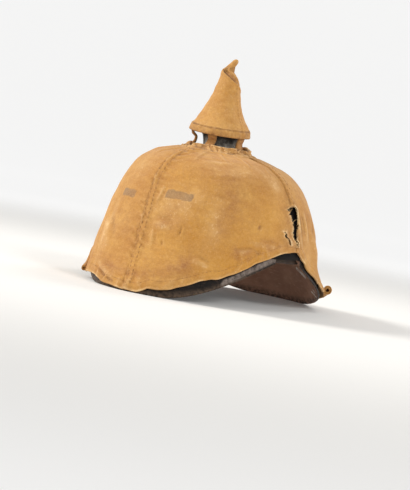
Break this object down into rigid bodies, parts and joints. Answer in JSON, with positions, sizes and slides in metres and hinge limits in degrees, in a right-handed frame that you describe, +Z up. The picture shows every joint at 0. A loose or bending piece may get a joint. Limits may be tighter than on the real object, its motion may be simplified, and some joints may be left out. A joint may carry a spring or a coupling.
{
  "type": "pickelhaube",
  "caption": "Spiked leather helmet with front and rear visors under a worn canvas field cover, with a separate tabbed cover over the spike.",
  "frame": {"origin": "on the ground, in the middle of the footprint, with the helmet standing on the edges of its two visors", "axes": "+Z up, -Y to the helmet's front, +X to the wearer's left"},
  "size_m": [0.1971, 0.2892, 0.2243],
  "materials": {
    "black_leather": "lacquered, worn",
    "visor_leather": "lacquered, worn",
    "band_leather": "matt, worn",
    "dark_metal": "dulled grey, worn",
    "canvas": "plain weave, faded and stained",
    "tab_canvas": "plain weave, soiled"
  },
  "bodies": {
    "root": {"shell": "black_leather", "front_visor": "visor_leather", "rear_visor": "visor_leather", "sweatband": "band_leather", "spike": "dark_metal", "crown_cover": "canvas", "spike_cover": "canvas", "tab_1": "tab_canvas", "tab_2": "tab_canvas", "tab_3": "tab_canvas", "tab_4": "tab_canvas", "tab_5": "tab_canvas"}
  },
  "joints": []
}
